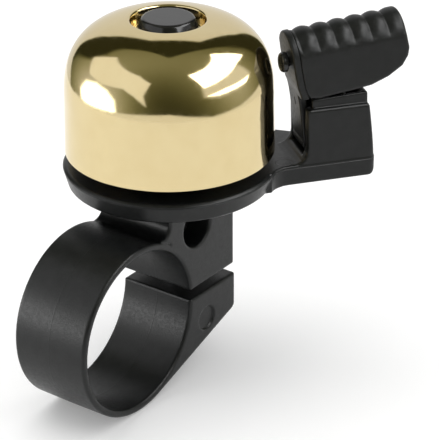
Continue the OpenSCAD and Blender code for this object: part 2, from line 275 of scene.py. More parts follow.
def held(outline, hold=0.12):
    """The outline with points added near the ends of long straight sides, which keep the shading true."""
    out = []
    for (x0, y0), (x1, y1) in zip(outline, outline[1:] + outline[:1]):
        out.append((x0, y0))
        length = math.hypot(x1 - x0, y1 - y0)
        if length > 7 * hold:
            for t in (hold / length, 3 * hold / length, 1 - 3 * hold / length, 1 - hold / length):
                out.append((x0 + (x1 - x0) * t, y0 + (y1 - y0) * t))
    return out


def turned(name, outline, place, steps=128):
    """Piece turned about the place's Z axis from a closed outline of (radius, height) points."""
    outline = held(outline)
    count = len(outline)
    angle = np.arange(steps) * 2 * math.pi / steps
    radius, height = np.array(outline, float).T
    verts = np.stack([np.outer(radius, np.cos(angle)), np.outer(radius, np.sin(angle)),
                      np.repeat(height[:, None], steps, 1)], -1).reshape(-1, 3)
    faces = []
    for i in range(count):
        j = (i + 1) % count
        if radius[i] < 1e-6 and radius[j] < 1e-6:
            continue
        for k in range(steps):
            n = (k + 1) % steps
            faces.append((i * steps + k, i * steps + n, j * steps + n, j * steps + k))
    obj = add_object(name, verts, faces, place)
    bm = bmesh.new()
    bm.from_mesh(obj.data)
    bmesh.ops.remove_doubles(bm, verts=bm.verts, dist=1e-8)
    bmesh.ops.recalc_face_normals(bm, faces=bm.faces)
    bm.to_mesh(obj.data)
    bm.free()
    return obj


def tube(name, points, radius, sides, place):
    """Round wire along the points, closed at both ends."""
    points = np.array(points, float)
    ahead = np.gradient(points, axis=0)
    ahead /= np.linalg.norm(ahead, axis=1)[:, None]
    side = np.cross(ahead, (0, 0, 1.0))
    side /= np.linalg.norm(side, axis=1)[:, None]
    up = np.cross(side, ahead)
    angle = np.arange(sides) * 2 * math.pi / sides
    cosine, sine = np.cos(angle)[None, :, None], np.sin(angle)[None, :, None]
    ring = radius * (cosine * side[:, None] + sine * up[:, None])
    verts = (points[:, None] + ring).reshape(-1, 3)
    faces = [(i * sides + k, i * sides + (k + 1) % sides,
              (i + 1) * sides + (k + 1) % sides, (i + 1) * sides + k)
             for i in range(len(points) - 1) for k in range(sides)]
    faces += [tuple(range(sides))[::-1], tuple((len(points) - 1) * sides + k for k in range(sides))]
    return add_object(name, verts, faces, place)


# ---------------------------------------------------------------- clamp

def in_screw_axes(x, z):
    dx, dz = x - BARREL_X, z - BARREL_Z
    return dx * math.cos(SLOPE) + dz * math.sin(SLOPE), dz * math.cos(SLOPE) - dx * math.sin(SLOPE)


def neck_fillet(x, z):
    """Concave corner between the ring and the block."""
    fillet = 2.0
    cx = BLOCK_LEFT - fillet
    cz = math.sqrt((RING_R + fillet) ** 2 - cx ** 2)
    k = RING_R / (RING_R + fillet)
    wedge = [(cx * k, cz * k), (BLOCK_LEFT, cz), (BLOCK_LEFT + 1, cz), (BLOCK_LEFT + 1, cz * k - 2)]
    return np.maximum(polygon2(x, z, wedge), fillet - np.hypot(x - cx, z - cz))


def clamp_field(x, y, z):
    edge, rim = 0.3, 0.45
    draft = np.abs(y) * math.tan(math.radians(0.5))
    ring = np.hypot(x, z) - RING_R + 0.01 + draft
    block = box2(x, z, BLOCK_LEFT, BLOCK_RIGHT, -2, BLOCK_TOP, 0.6)
    along = x * math.cos(SLOPE) + z * math.sin(SLOPE)
    under = x * math.sin(SLOPE) - z * math.cos(SLOPE) - RING_R
    lug = np.maximum(np.maximum(both(x - LUG_RIGHT, under + draft, 0.8), z), -along)
    block = np.maximum(block, -z)
    solid = np.minimum(np.minimum(ring, block), np.minimum(lug, neck_fillet(x, z)))
    solid = cut(solid, np.hypot(x, z) - BORE_R, edge)
    solid = cut(solid, box2(x, z, BORE_R - 4, LUG_RIGHT + 4, SPLIT_LOW, SPLIT_HIGH), edge)
    solid = cut(solid, np.hypot(x - BARREL_X, z - BARREL_Z) - BARREL_HOLE_R, 0.2)
    solid = both(solid, np.abs(y) - CLAMP_W / 2, rim)
    post_low, post_high = BLOCK_TOP - 1, RIM_Z + POST_TOP
    post = both(np.hypot(x - BELL_X, y) - POST_R, np.abs(z - (post_low + post_high) / 2)
                - (post_high - post_low) / 2, 0.3)
    solid = np.minimum(solid, post)
    insert_hole = np.maximum(np.hypot(x - BELL_X, y) - INSERT_R, RIM_Z + POST_TOP - INSERT_LEN - 3 - z)
    solid = cut(solid, insert_hole, 0.15)
    sx, sz = in_screw_axes(x, z)
    bore = np.maximum(np.hypot(sx, y) - THREAD_R - 0.2, sz - 4.2)
    counterbore = np.maximum(np.hypot(sx, y) - COUNTERBORE_R, sz - SCREW_SEAT)
    solid = cut(cut(solid, bore, 0.1), counterbore, 0.2)
    dimple = np.maximum(np.hypot(x - DIMPLE_X, z - DIMPLE_Z) - DIMPLE_R, y + CLAMP_W / 2 - DIMPLE_DEPTH)
    return cut(solid, dimple, 0.08)


def clamp():
    return moulded("clamp_moulding", clamp_field, (-RING_R, -CLAMP_W / 2, -RING_R),
                   (LUG_RIGHT, CLAMP_W / 2, RIM_Z + POST_TOP), 0.24, AT_ORIGIN)


def thread(z, angle):
    """Radius lost in the thread's groove."""
    turn = np.mod(z / THREAD_PITCH - angle / (2 * math.pi), 1)
    return THREAD_DEPTH * (1 - np.abs(2 * turn - 1))


def barrel_nut():
    def field(x, y, z):
        body = both(np.hypot(x, z) - BARREL_R, np.abs(y) - BARREL_LEN / 2, 0.3)
        return cut(body, np.hypot(x, y) - THREAD_R - 0.05, 0.15)
    half = (BARREL_R, BARREL_LEN / 2, BARREL_R)
    return moulded("cross_barrel_nut", field, [-a for a in half], half, 0.15, AT_SCREW)


def cross_recess(x, y, z, top, depth, reach, width):
    """Cross recess that narrows downwards from top."""
    narrow = (top - z) * 0.16
    arm_x = box2(x, y, -reach, reach, -width, width, 0.1) + narrow
    arm_y = box2(x, y, -width, width, -reach, reach, 0.1) + narrow
    return np.maximum(np.minimum(arm_x, arm_y), top - depth - z)


def clamp_screw():
    under_head = SCREW_SEAT - WASHER_T - LOCK_T
    tip = 3.6

    def field(x, y, z):
        r, angle = np.hypot(x, y), np.arctan2(y, x)
        plain = np.clip((z - under_head - 1.5) / 0.8, 0, 1)
        shank = both(r - THREAD_R + thread(z, angle) * plain, np.abs(z - (under_head + tip) / 2)
                     - (tip - under_head) / 2, 0.45)
        head_z = under_head - HEAD_H
        dome = np.hypot(r, z - head_z - 8.2) - 8.2
        head = both(np.maximum(r - HEAD_R, z - under_head), dome, 0.35)
        solid = np.minimum(shank, head)
        return cut(solid, cross_recess(x, y, -z, -head_z, 1.35, 1.9, 0.42), 0.08)
    return moulded("clamp_tightening_screw", field, (-HEAD_R, -HEAD_R, under_head - HEAD_H),
                   (HEAD_R, HEAD_R, tip), 0.1, AT_SCREW)


def lock_washer():
    low = SCREW_SEAT - WASHER_T - LOCK_T

    def field(x, y, z):
        mid = z - low - LOCK_T / 2
        ring = both(np.abs(np.hypot(x, y) - 2.475) - 0.425, np.abs(mid) - LOCK_T / 2, 0.08)
        gap = np.maximum(np.abs(y - 0.35 * mid) - 0.28, -x)
        return cut(ring, gap, 0.06)
    return moulded("split_lock_washer", field, (-3, -3, low), (3, 3, low + LOCK_T), 0.09, AT_SCREW)


def washer(name, outer, inner, low, thick, place, edge=0.12, steps=96):
    edge = min(edge, thick * 0.3)
    corners = [(inner, low, edge), (outer, low, edge), (outer, low + thick, edge), (inner, low + thick, edge)]
    return turned(name, filleted(corners, 3), place, steps)


# ---------------------------------------------------------------- base

def arm_fillet(u, v, radius):
    """Concave corner between the disc and the arm's front face."""
    cv = ARM_FRONT - radius
    cu = math.sqrt((DISC_R + radius) ** 2 - cv ** 2)
    k = DISC_R / (DISC_R + radius)
    wedge = [(cu * k, cv * k), (cu, ARM_FRONT), (cu, ARM_FRONT + 1), (cu * k - 2, ARM_FRONT + 1),
             (cu * k - 2, cv * k)]
    return np.maximum(polygon2(u, v, wedge), radius - np.hypot(u - cu, v - cv))


def base_field_maker():
    edge = 0.16
    disc_outline = [(-6, PLATE_LOW + edge), (DISC_LOW_R - 0.35 - edge, PLATE_LOW + edge),
                    (DISC_LOW_R - edge, PLATE_LOW + 0.35 + edge / 2), (DISC_R - edge, PLATE_EDGE),
                    (DISC_R - 0.5 - edge / 2, PLATE_TOP - edge), (-6, PLATE_TOP - edge)]
    root = 10
    side = filleted([(root, PLATE_LOW, 0), (ARM_END - 0.1, PLATE_LOW, 1.2), (ARM_END - 0.1, PLATE_TOP, 0),
                     (HOUSING_RIGHT_TOP, HOUSING_TOP, 0.6), (HOUSING_LEFT_TOP, HOUSING_TOP, 0.5),
                     (HOUSING_LEFT, PLATE_TOP, 2.4), (root, PLATE_TOP, 0)])
    foot = filleted([(-DISC_R, PLATE_LOW, 0), (ARM_END, PLATE_LOW, 1.2), (ARM_END, PLATE_TOP, 0.2),
                     (-DISC_R, PLATE_TOP, 0)])
    plan = filleted([(root, ARM_FRONT, 0), (ARM_END, ARM_FRONT, 1.2), (ARM_END, ARM_BACK, 0.8),
                     (root, ARM_BACK, 0)])
    web = [(12, ARM_BACK - 1), (12, 10.5), (14, 9.6), (ARM_END - 4, ARM_BACK), (ARM_END - 4, ARM_BACK - 1)]
    collar = filleted([(CAVITY[0] - 0.8, HOUSING_TOP - 1, 0), (HOUSING_RIGHT_TOP - 0.1, HOUSING_TOP - 1, 0),
                       (HOUSING_RIGHT_TOP - 0.2, COLLAR_TOP_RIGHT, 0.3),
                       (CAVITY[0] - 0.8, COLLAR_TOP_LEFT, 0.3)])

    def field(u, v, h):
        disc = polygon2(np.hypot(u, v), h, disc_outline) - edge
        rim = 0.3
        slab = polygon2(u, h, foot)
        plan_d = polygon2(u, v, plan)
        plate = both(np.minimum(np.minimum(plan_d, polygon2(u, v, web)), arm_fillet(u, v, 4.5)), slab, rim)
        tower = both(polygon2(u, h, side), plan_d + 0.06, 0.42)
        lip = both(polygon2(u, h, collar), np.abs(v - (ARM_FRONT + COLLAR_INSET + ARM_BACK) / 2)
                   - (ARM_BACK - ARM_FRONT - COLLAR_INSET) / 2, 0.25)
        solid = np.minimum(np.minimum(disc, plate), np.minimum(tower, lip))
        solid = cut(solid, np.hypot(u, v) - POST_R - 0.05, 0.2)
        well = np.maximum(box2(u, v, *CAVITY, 0.3), CAVITY_LOW - h)
        opening = box2(u, v, HOUSING_LEFT - 4, CAVITY[0] + 1, WINDOW_FRONT, CAVITY[3], 0.2)
        window = np.maximum(opening, WINDOW_LOW - h)
        solid = cut(cut(solid, well, 0.2), window, 0.2)
        pin = np.maximum(np.hypot(u - HINGE_U, h - HINGE_H) - PIN_R, -7.6 - v)
        return cut(solid, pin, 0.08)
    return field


def base():
    return moulded("base_moulding", base_field_maker(), (-DISC_R, -DISC_R, PLATE_LOW),
                   (ARM_END, DISC_R, COLLAR_TOP_RIGHT), 0.2, AT_ARM)


# ---------------------------------------------------------------- lever

# Side view of the tongue, (u, h). Some of these points come from measurements of the photo.
TONGUE_LEFT = [(20.1, 0.6), (19.95, 3), (19.7, 5.2), (19.4, 7.5), (19, 9.5), (18.5, 11), (17.72, 15.4),
               (17.25, 19.6)]
TONGUE_RIGHT = [(18.32, 19.6), (18.8, 15.4), (19.65, 11), (20.2, 9.5), (20.7, 7.5), (21, 5.2), (21.5, 3),
                (22.2, 0.6)]


def curve_through(points, steps=4):
    """Open smooth curve through the points."""
    closed = smooth_closed(points, steps)
    return closed[: (len(points) - 1) * steps + 1]


TONGUE_TOP = 19.3


def tongue_sides():
    """Side views of all to the right of the tongue's left face, and all to the left of its right face."""
    left, right = curve_through(TONGUE_LEFT), curve_through(TONGUE_RIGHT)
    return left + [(40, 25), (40, -5), (20.1, -5)], right + [(22.2, -5), (0, -5), (0, 25), (18.3, 25)]


def pad_arch(u, v, h, r):
    """Arched bar along the pad, with the places along its tilted axis and above it."""
    along = (u - ARCH_U) * math.cos(PAD_TILT) + (h - ARCH_H) * math.sin(PAD_TILT)
    above = (h - ARCH_H) * math.cos(PAD_TILT) - (u - ARCH_U) * math.sin(PAD_TILT)
    return np.hypot(v - PAD_V, np.maximum(above, 0)) - r, along, above


def tongue():
    left_side, right_side = tongue_sides()
    back, foot_front, wide_from = -1.0, -6.2, 8.9
    slit_v, slit_h, slit_depth = -3.9, 7.1, 0.4

    def field(u, v, h):
        left, right = polygon2(u, h, left_side), polygon2(u, h, right_side)
        arch, _, _ = pad_arch(u, v, h, ARCH_R - 0.1)
        upper = both(both(left, np.maximum(arch, v - back), 0.4), np.maximum(right, wide_from - h), 0.08)
        foot = both(np.maximum(left, right), box2(v, h, foot_front, back, 0.6, 12), 0.22)
        knuckle = both(np.hypot(u - HINGE_U, h - HINGE_H) - KNUCKLE_R, np.abs(v - (foot_front + back) / 2)
                       - (back - foot_front) / 2, 0.15)
        solid = np.minimum(np.minimum(upper, foot), knuckle)
        slit = np.maximum(box2(v, h, slit_v - 0.17, slit_v + 0.17, slit_h - 0.65, slit_h + 0.65, 0.15),
                          -left - slit_depth)
        solid = cut(solid, slit, 0.06)
        return cut(solid, np.hypot(u - HINGE_U, h - HINGE_H) - PIN_R - 0.05, 0.06)
    return moulded("lever_tongue", field, (17, PAD_V - ARCH_R, -1), (23, back, TONGUE_TOP), 0.12, AT_ARM)


# Side view of the pad, (u, h). The points of its lower and right edges are rounded measurements that
# a separate program made of the photo.
PAD_SIDE = [(18.75, 16), (18.85, 14.6), (19.5, 11), (19.7, 9.9), (20.6, 8.9), (22, 8.75), (27.6, 9.45),
            (30.7, 9.95), (33.5, 11.1), (35.8, 12.7), (36.7, 14.3), (36.85, 15.6), (36.2, 18.4), (35.4, 24),
            (18.2, 24), (18.2, 17.65)]


def thumb_pad():
    _, tongue_right = tongue_sides()
    ridge_depth, fade_low, fade_high = 0.46, 0.5, 2.3

    def field(u, v, h):
        arch, along, above = pad_arch(u, v, h, ARCH_R)
        steps = (along - FIRST_GROOVE) / GROOVE_PITCH
        valley = np.abs(steps - np.clip(np.round(steps), 0, GROOVES - 1))
        slope = np.clip(1 - 2 * valley, 0, 1)
        fade = np.clip((above - fade_low) / (fade_high - fade_low), 0, 1)
        arch = arch + ridge_depth * slope ** 1.9 * fade * fade * (3 - 2 * fade)
        solid = both(polygon2(u, h, PAD_SIDE), arch, 0.6)
        solid = cut(solid, polygon2(u, h, tongue_right), 0.1)
        swing = np.maximum(np.abs(u - SPRING_U) - 1.1, 0)
        pocket = np.maximum(np.hypot(swing, v - SPRING_V) - SPRING_R - 0.4, h - SPRING_TOP - 0.1)
        return cut(solid, pocket, 0.15)
    return moulded("thumb_pad_moulding", field, (18.0, PAD_V - ARCH_R, 8.6), (36.9, PAD_V + ARCH_R, 22),
                   0.13, AT_ARM)


def striker():
    stem_r, head_end, end = STRIKER_R / 2 - 0.02, 17.6, 19.6
    corners = [(0, STRIKER_FACE, 0), (STRIKER_R, STRIKER_FACE, 0.45), (STRIKER_R, head_end, 0.1),
               (stem_r, head_end, 0), (stem_r, end, 0.1), (0, end, 0)]
    place = AT_ARM @ Matrix.Translation((0, STRIKER_V, STRIKER_H)) @ ALONG
    return turned("striker_button", filleted(corners), place, 64)


def hinge_pin():
    place = AT_ARM @ Matrix.Translation((HINGE_U, 0, HINGE_H)) @ ACROSS
    corners = [(0, -ARM_BACK, 0), (PIN_R - 0.01, -ARM_BACK, 0.15), (PIN_R - 0.01, 7.5, 0.15), (0, 7.5, 0)]
    return turned("lever_hinge_pin", filleted(corners, 3), place, 32)


def return_spring():
    radius = SPRING_R - SPRING_WIRE
    rise = SPRING_TOP - SPRING_LOW - 2 * SPRING_WIRE
    per_turn = 32
    points = []
    for i in range(SPRING_TURNS * per_turn + 1):
        t = i / (SPRING_TURNS * per_turn)
        ends = 1.0 / SPRING_TURNS
        lift = np.interp(t, [0, ends, 1 - ends, 1], [0, 0.03, 0.97, 1])
        angle = 2 * math.pi * SPRING_TURNS * t
        points.append((radius * math.cos(angle), radius * math.sin(angle), SPRING_WIRE + rise * lift))
    place = AT_ARM @ Matrix.Translation((SPRING_U, SPRING_V, SPRING_LOW))
    return tube("return_coil_spring", points, SPRING_WIRE, 12, place)


# ---------------------------------------------------------------- bell

def dome():
    upper_r = DOME_R - 0.17
    lip_r = RECESS_R + 0.5

    def crown(r, top, q):
        return WALL_H + (top - WALL_H) * (1 - (q / r) ** SHOULDER) ** (1 / SHOULDER)

    def sweep(r, top, start, end, steps=72):
        points = []
        for i in range(steps + 1):
            angle = math.radians(90 * i / steps)
            q = start + (end - start) * (1 - math.cos(angle) if start > end else math.sin(angle))
            points.append((q, crown(r, top, min(q, r))))
        return points
    outer = sweep(upper_r, DOME_H, upper_r, lip_r)
    inner = sweep(upper_r - DOME_WALL, DOME_H - DOME_WALL, RECESS_R + DOME_WALL, upper_r - DOME_WALL)
    hole_r = THREAD_R + 0.25
    rim = filleted([(upper_r, WALL_H, 0), (DOME_R - DOME_WALL, 0, 0.12), (DOME_R, 0, 0.15),
                    (upper_r, WALL_H, 0)])[1:-1]
    step_down = filleted([(lip_r, outer[-1][1], 0), (RECESS_R + 0.05, DOME_H - 0.3, 0.35),
                          (RECESS_R - 0.5, CROWN_FLOOR, 0.7), (hole_r, CROWN_FLOOR, 0.1),
                          (hole_r, CROWN_FLOOR - DOME_WALL, 0.1),
                          (RECESS_R + 0.1, CROWN_FLOOR - DOME_WALL, 0.5),
                          inner[0] + (0,)])[1:-1]
    return turned("brass_dome_shell", rim + outer + step_down + inner, AT_BELL, 256)


def cap():
    cavity_r, base_r, top_r = 3.7, 4.65, 4.07
    under_top = DOME_H - 0.6
    corners = [(0, under_top, 0), (cavity_r, under_top, 0.2), (cavity_r, CROWN_FLOOR, 0.1),
               (base_r, CROWN_FLOOR, 0.15), (base_r, CROWN_FLOOR + 1.35, 0.9), (top_r, DOME_H, 0.62),
               (0, DOME_H, 0)]
    return turned("dome_cap_cover", filleted(corners, 8), AT_BELL, 128)


def dome_screw():
    head_low, head_h, head_r = CROWN_FLOOR + 0.4, 1.3, 3.0
    tip = POST_TOP - INSERT_LEN + 0.5

    def field(x, y, z):
        r, angle = np.hypot(x, y), np.arctan2(y, x)
        length = np.abs(z - (tip + head_low) / 2) - (head_low - tip) / 2
        shank = both(r - THREAD_R + thread(z, angle), length, 0.4)
        bowl = np.hypot(r, z - head_low - head_h + 5.5) - 5.5
        head = both(np.maximum(r - head_r, head_low - z), bowl, 0.25)
        return cut(np.minimum(shank, head), cross_recess(x, y, z, head_low + head_h, 0.9, 1.6, 0.36), 0.08)
    return moulded("dome_retaining_screw", field, (-head_r, -head_r, tip),
                   (head_r, head_r, head_low + head_h), 0.12, AT_BELL)


def friction_washer():
    inner, outer, rise, thick = POST_R + 0.25, 6.8, 0.5, 0.35
    corners = [(inner, PLATE_TOP + rise, 0.08), (outer, PLATE_TOP, 0.08), (outer, PLATE_TOP + thick, 0.08),
               (inner, PLATE_TOP + rise + thick, 0.08)]
    return turned("dished_friction_washer", filleted(corners, 3), AT_BELL, 96)


# ---------------------------------------------------------------- materials

class Look:
    """A procedural material: one Principled shader with nodes added before it."""

    def __init__(self, name, colour, metallic=0.0, roughness=0.5, **sockets):
        self.material = bpy.data.materials.new(name)
        self.material.use_nodes = True
        self.tree = self.material.node_tree
        self.shader = self.tree.nodes["Principled BSDF"]
        self.colour = colour
        self.shader.inputs["Base Color"].default_value = (*colour, 1)
        self.shader.inputs["Metallic"].default_value = metallic
        self.shader.inputs["Roughness"].default_value = roughness
        for socket, value in sockets.items():
            self.shader.inputs[socket.replace("_", " ")].default_value = value
        self.place = self.node("ShaderNodeTexCoord").outputs["Object"]

    def node(self, kind, **settings):
        made = self.tree.nodes.new(kind)
        for name, value in settings.items():
            setattr(made, name, value)
        return made

    def math(self, operation, a, b=0.0, clamp=False):
        made = self.node("ShaderNodeMath", operation=operation, use_clamp=clamp)
        for socket, value in zip(made.inputs, (a, b)):
            if isinstance(value, (int, float)):
                socket.default_value = value
            else:
                self.tree.links.new(value, socket)
        return made.outputs[0]

    def noise(self, size, detail=2.0):
        """Noise whose features are about size millimetres across."""
        made = self.node("ShaderNodeTexNoise")
        made.inputs["Scale"].default_value = 1 / (size * MM)
        made.inputs["Detail"].default_value = detail
        self.tree.links.new(self.place, made.inputs["Vector"])
        return made.outputs[0]

    def spread(self, value, low, high, source=(0.3, 0.7)):
        made = self.node("ShaderNodeMapRange")
        numbers = {"From Min": source[0], "From Max": source[1], "To Min": low, "To Max": high}
        for name, number in numbers.items():
            made.inputs[name].default_value = number
        self.tree.links.new(value, made.inputs["Value"])
        return made.outputs[0]

    def roughness(self, value):
        self.tree.links.new(value, self.shader.inputs["Roughness"])

    def tint(self, factor, other):
        """Base colour turns to the other colour where factor is 1."""
        mix = self.node("ShaderNodeMix", data_type="RGBA")
        mix.inputs[6].default_value = (*self.colour, 1)
        mix.inputs[7].default_value = (*other, 1)
        last = self.shader.inputs["Base Color"]
        if last.is_linked:
            self.tree.links.new(last.links[0].from_socket, mix.inputs[6])
        self.tree.links.new(factor, mix.inputs[0])
        self.tree.links.new(mix.outputs[2], last)

    def bump(self, height, depth, strength=1.0):
        """Relief of the given depth in millimetres where height goes from 0 to 1."""
        made = self.node("ShaderNodeBump")
        made.inputs["Distance"].default_value = depth * MM
        made.inputs["Strength"].default_value = strength
        last = self.shader.inputs["Normal"]
        if last.is_linked:
            self.tree.links.new(last.links[0].from_socket, made.inputs["Normal"])
        self.tree.links.new(height, made.inputs["Height"])
        self.tree.links.new(made.outputs[0], last)

    def axis(self, name):
        split = self.node("ShaderNodeSeparateXYZ")
        self.tree.links.new(self.place, split.inputs[0])
        return split.outputs[name]

    def line(self, axis, at, half_width):
        """1 on a thin plane at the given height along an axis, in millimetres, and 0 away from it."""
        gap = self.math("ABSOLUTE", self.math("SUBTRACT", self.axis(axis), at * MM))
        return self.math("SUBTRACT", 1.0, self.math("DIVIDE", gap, half_width * MM), clamp=True)

    def ring_line(self, x, y, radius, half_width):
        """1 on a thin circle about an upright axis, in millimetres, and 0 away from it."""
        dx = self.math("SUBTRACT", self.axis("X"), x * MM)
        dy = self.math("SUBTRACT", self.axis("Y"), y * MM)
        squares = self.math("ADD", self.math("MULTIPLY", dx, dx), self.math("MULTIPLY", dy, dy))
        away = self.math("SQRT", squares)
        gap = self.math("ABSOLUTE", self.math("SUBTRACT", away, radius * MM))
        return self.math("SUBTRACT", 1.0, self.math("DIVIDE", gap, half_width * MM), clamp=True)

    def edges(self, low, high):
        """1 on convex edges, by the mesh's own curvature."""
        point = self.node("ShaderNodeNewGeometry").outputs["Pointiness"]
        return self.spread(point, 0.0, 1.0, (low, high))


def plastic(name, colour, light, roughness, grain, depth, shine=0.3):
    look = Look(name, colour, roughness=roughness, Specular_IOR_Level=shine)
    look.tint(look.math("MULTIPLY", look.spread(look.noise(1.6, 4), 0, 1), 0.35), light)
    # Convex edges are tinted towards the lighter colour: a painted highlight along the edges.
    look.tint(look.math("MULTIPLY", look.edges(0.52, 0.58), 0.3), light)
    look.roughness(look.spread(look.noise(0.5, 3), roughness - 0.05, roughness + 0.08))
    look.bump(look.noise(grain, 1.5), depth)
    return look


def gloss(name, colour, roughness):
    look = Look(name, colour, roughness=roughness, Specular_IOR_Level=0.4)
    look.roughness(look.spread(look.noise(0.8, 3), roughness, roughness + 0.08))
    look.bump(look.noise(2.5, 1), 0.01)
    return look


def metal(name, colour, dull, roughness):
    look = Look(name, colour, metallic=1.0, roughness=roughness)
    look.tint(look.spread(look.noise(1.2, 4), 0, 0.5), dull)
    look.roughness(look.spread(look.noise(0.4, 3), roughness - 0.06, roughness + 0.1))
    look.bump(look.noise(0.15, 2), 0.006)
    return look


def polished_brass():
    look = Look("polished_brass", (0.70, 0.58, 0.33), metallic=1.0, roughness=0.07)
    look.tint(look.spread(look.noise(4, 4), 0, 0.5), (0.65, 0.52, 0.28))
    look.roughness(look.spread(look.noise(1.2, 5), 0.05, 0.12))
    look.bump(look.noise(5, 1), 0.010)
    look.bump(look.noise(0.35, 3), 0.0012)
    return look


def base_plastic():
    look = plastic("base_plastic", (0.0045, 0.005, 0.005), (0.014, 0.015, 0.0145), 0.33, 0.20, 0.005)
    mark = AT_ARM @ Vector((16.9, -6.5, 0))
    ring = look.ring_line(mark.x, mark.y, 1.35, 0.09)
    look.tint(look.math("MULTIPLY", ring, 0.6), (0.05, 0.05, 0.048))
    look.bump(ring, 0.03)
    # The parting line is a real bumped groove; its darker tint is painted shade in the groove.
    seam = look.line("Z", RIM_Z + PLATE_EDGE, 0.11)
    look.tint(look.math("MULTIPLY", seam, 0.7), (0.004, 0.004, 0.004))
    look.bump(look.math("SUBTRACT", 1.0, seam), 0.08)
    return look


def clamp_plastic():
    look = plastic("clamp_plastic", (0.0045, 0.005, 0.005), (0.016, 0.017, 0.017), 0.36, 0.22, 0.014)
    seam = look.line("Y", 0, 0.12)
    look.bump(seam, 0.012)
    return look


def nylon():
    look = Look("nylon", (0.78, 0.76, 0.70), roughness=0.4, Subsurface_Weight=0.1)
    look.tint(look.spread(look.noise(0.9, 3), 0, 0.6), (0.70, 0.67, 0.60))
    look.bump(look.noise(0.2, 2), 0.006)
    return look


LOOKS = {
    "polished_brass": polished_brass(),
    "plain_brass": metal("plain_brass", (0.72, 0.52, 0.24), (0.55, 0.38, 0.17), 0.28),
    "clamp_plastic": clamp_plastic(),
    "base_plastic": base_plastic(),
    "pad_plastic": plastic("pad_plastic", (0.0045, 0.005, 0.005), (0.014, 0.015, 0.0145), 0.40, 0.22, 0.006),
    "gloss_black": gloss("gloss_black", (0.012, 0.012, 0.012), 0.10),
    "zinc_steel": metal("zinc_steel", (0.62, 0.63, 0.65), (0.45, 0.46, 0.48), 0.26),
    "black_steel": metal("black_steel", (0.09, 0.09, 0.095), (0.05, 0.05, 0.05), 0.38),
    "spring_steel": metal("spring_steel", (0.55, 0.56, 0.58), (0.40, 0.41, 0.43), 0.22),
    "nylon": nylon(),
}


def finish_piece(obj, node, slot_name):
    """Gives the piece its material and the body that the record lists for the node, and hides the node's
    imported part.
    """
    body = next(b for b, members in frame["record"]["behaviour"]["bodies"].items() if node in members)
    obj.data.materials.append(LOOKS[slot_name].material)
    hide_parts(node)
    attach(obj, body)
    return obj


finish_piece(clamp(), "clamp_body", "clamp_plastic")
finish_piece(barrel_nut(), "barrel_nut", "black_steel")
finish_piece(clamp_screw(), "clamp_screw", "zinc_steel")
finish_piece(lock_washer(), "clamp_lock_washer", "zinc_steel")
finish_piece(washer("flat_clamp_washer", HEAD_R + 0.1, THREAD_R + 0.1, SCREW_SEAT - WASHER_T, WASHER_T,
                    AT_SCREW), "clamp_washer", "zinc_steel")
finish_piece(washer("threaded_post_insert", INSERT_R, THREAD_R + 0.05, POST_TOP - INSERT_LEN, INSERT_LEN,
                    AT_BELL, 0.3), "post_insert", "plain_brass")
finish_piece(base(), "base_plate", "base_plastic")
finish_piece(washer("nylon_bearing_washer", 6.6, POST_R + 0.05, PLATE_LOW - 0.5, 0.5, AT_BELL),
             "bearing_washer", "nylon")
finish_piece(friction_washer(), "friction_washer", "spring_steel")
finish_piece(washer("dome_spacer_sleeve", SLEEVE_R, POST_R + 0.05, SLEEVE_LOW, SLEEVE_TOP - SLEEVE_LOW,
                    AT_BELL, 0.4), "spacer_sleeve", "base_plastic")
finish_piece(dome(), "dome", "polished_brass")
finish_piece(washer("nylon_dome_seat", SLEEVE_R - 0.4, THREAD_R + 0.1, SLEEVE_TOP, 0.8, AT_BELL),
             "dome_seat_washer", "nylon")
finish_piece(washer("dome_screw_washer", 3.7, THREAD_R + 0.1, CROWN_FLOOR, 0.4, AT_BELL),
             "dome_top_washer", "zinc_steel")
finish_piece(dome_screw(), "dome_screw", "zinc_steel")
finish_piece(cap(), "dome_cap", "gloss_black")
finish_piece(tongue(), "lever", "pad_plastic")
finish_piece(thumb_pad(), "thumb_pad", "pad_plastic")
finish_piece(striker(), "striker_pin", "gloss_black")
finish_piece(hinge_pin(), "lever_pin", "zinc_steel")
spring = finish_piece(return_spring(), "return_spring", "spring_steel")
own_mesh(spring)


# ---------------------------------------------------------------- stage

STAGE_R = 195.0
CENTRE = Vector((BELL_X, 0, FLOOR_Z / MM))


def direction(azimuth, elevation):
    a, e = math.radians(azimuth), math.radians(elevation)
    return Vector((math.cos(a) * math.cos(e), math.sin(a) * math.cos(e), math.sin(e)))


# Cards of the studio as the polished dome sees them: corners of (azimuth, elevation) in degrees,
# brightness, and softness of the edge in degrees. The corners of right_window are directions that a
# separate program worked out from the photo's reflections. Most of the other cards started that way
# and were then changed by hand, and brightness was set by hand against a map from the same program.
CARDS = {
    "back_shade": ([(-16, 14), (-16, 50), (-10, 66), (-2, 89), (66, 89), (76, 74), (86, 64), (103, 55),
                    (102, 38), (84, 22), (78, 10)], 0.035, 7),
    "back_sweep": ([(92, -5), (86, 5), (77, 13), (73, 22), (72, 35), (67, 48), (49, 62), (14, 63), (6, 43),
                    (8, 22), (11, 9), (14, -5)], 0.86, 2.5),
    "right_haze": ([(-106, 25), (-106, 44), (-46, 44), (-42, 26), (-60, 20), (-90, 20)], 0.93, 7),
    "right_window": ([(-31, 68), (-27, 44), (-44, 46), (-103, 38), (-113, 61)], 6.0, 2),
    "right_strip": ([(-45, 25.5), (-52, 21.5), (-90, 23), (-102, 25.5), (-80, 28)], 6.0, 2),
    "left_panel": ([(102, 43), (111, 62), (176, 58), (195, 50), (190, 30), (194, 16), (180, 27), (166, 34),
                    (140, 29), (118, 29)], 1.12, 2.5),
    "left_box": ([(117, -5), (113, 8), (119, 19), (133, 25), (148, 23), (158, 15), (160, 4), (158, -5)],
                 6.0, 8),
    "floor_skirt": ([(100, -5), (101, 1), (128, 1), (155, 3), (177, 5), (198, 7), (218, 8), (238, 4.5),
                     (262, 1), (297, 2.5), (320, 6), (343, 11), (346, -5)], 1.0, 1.5),
}
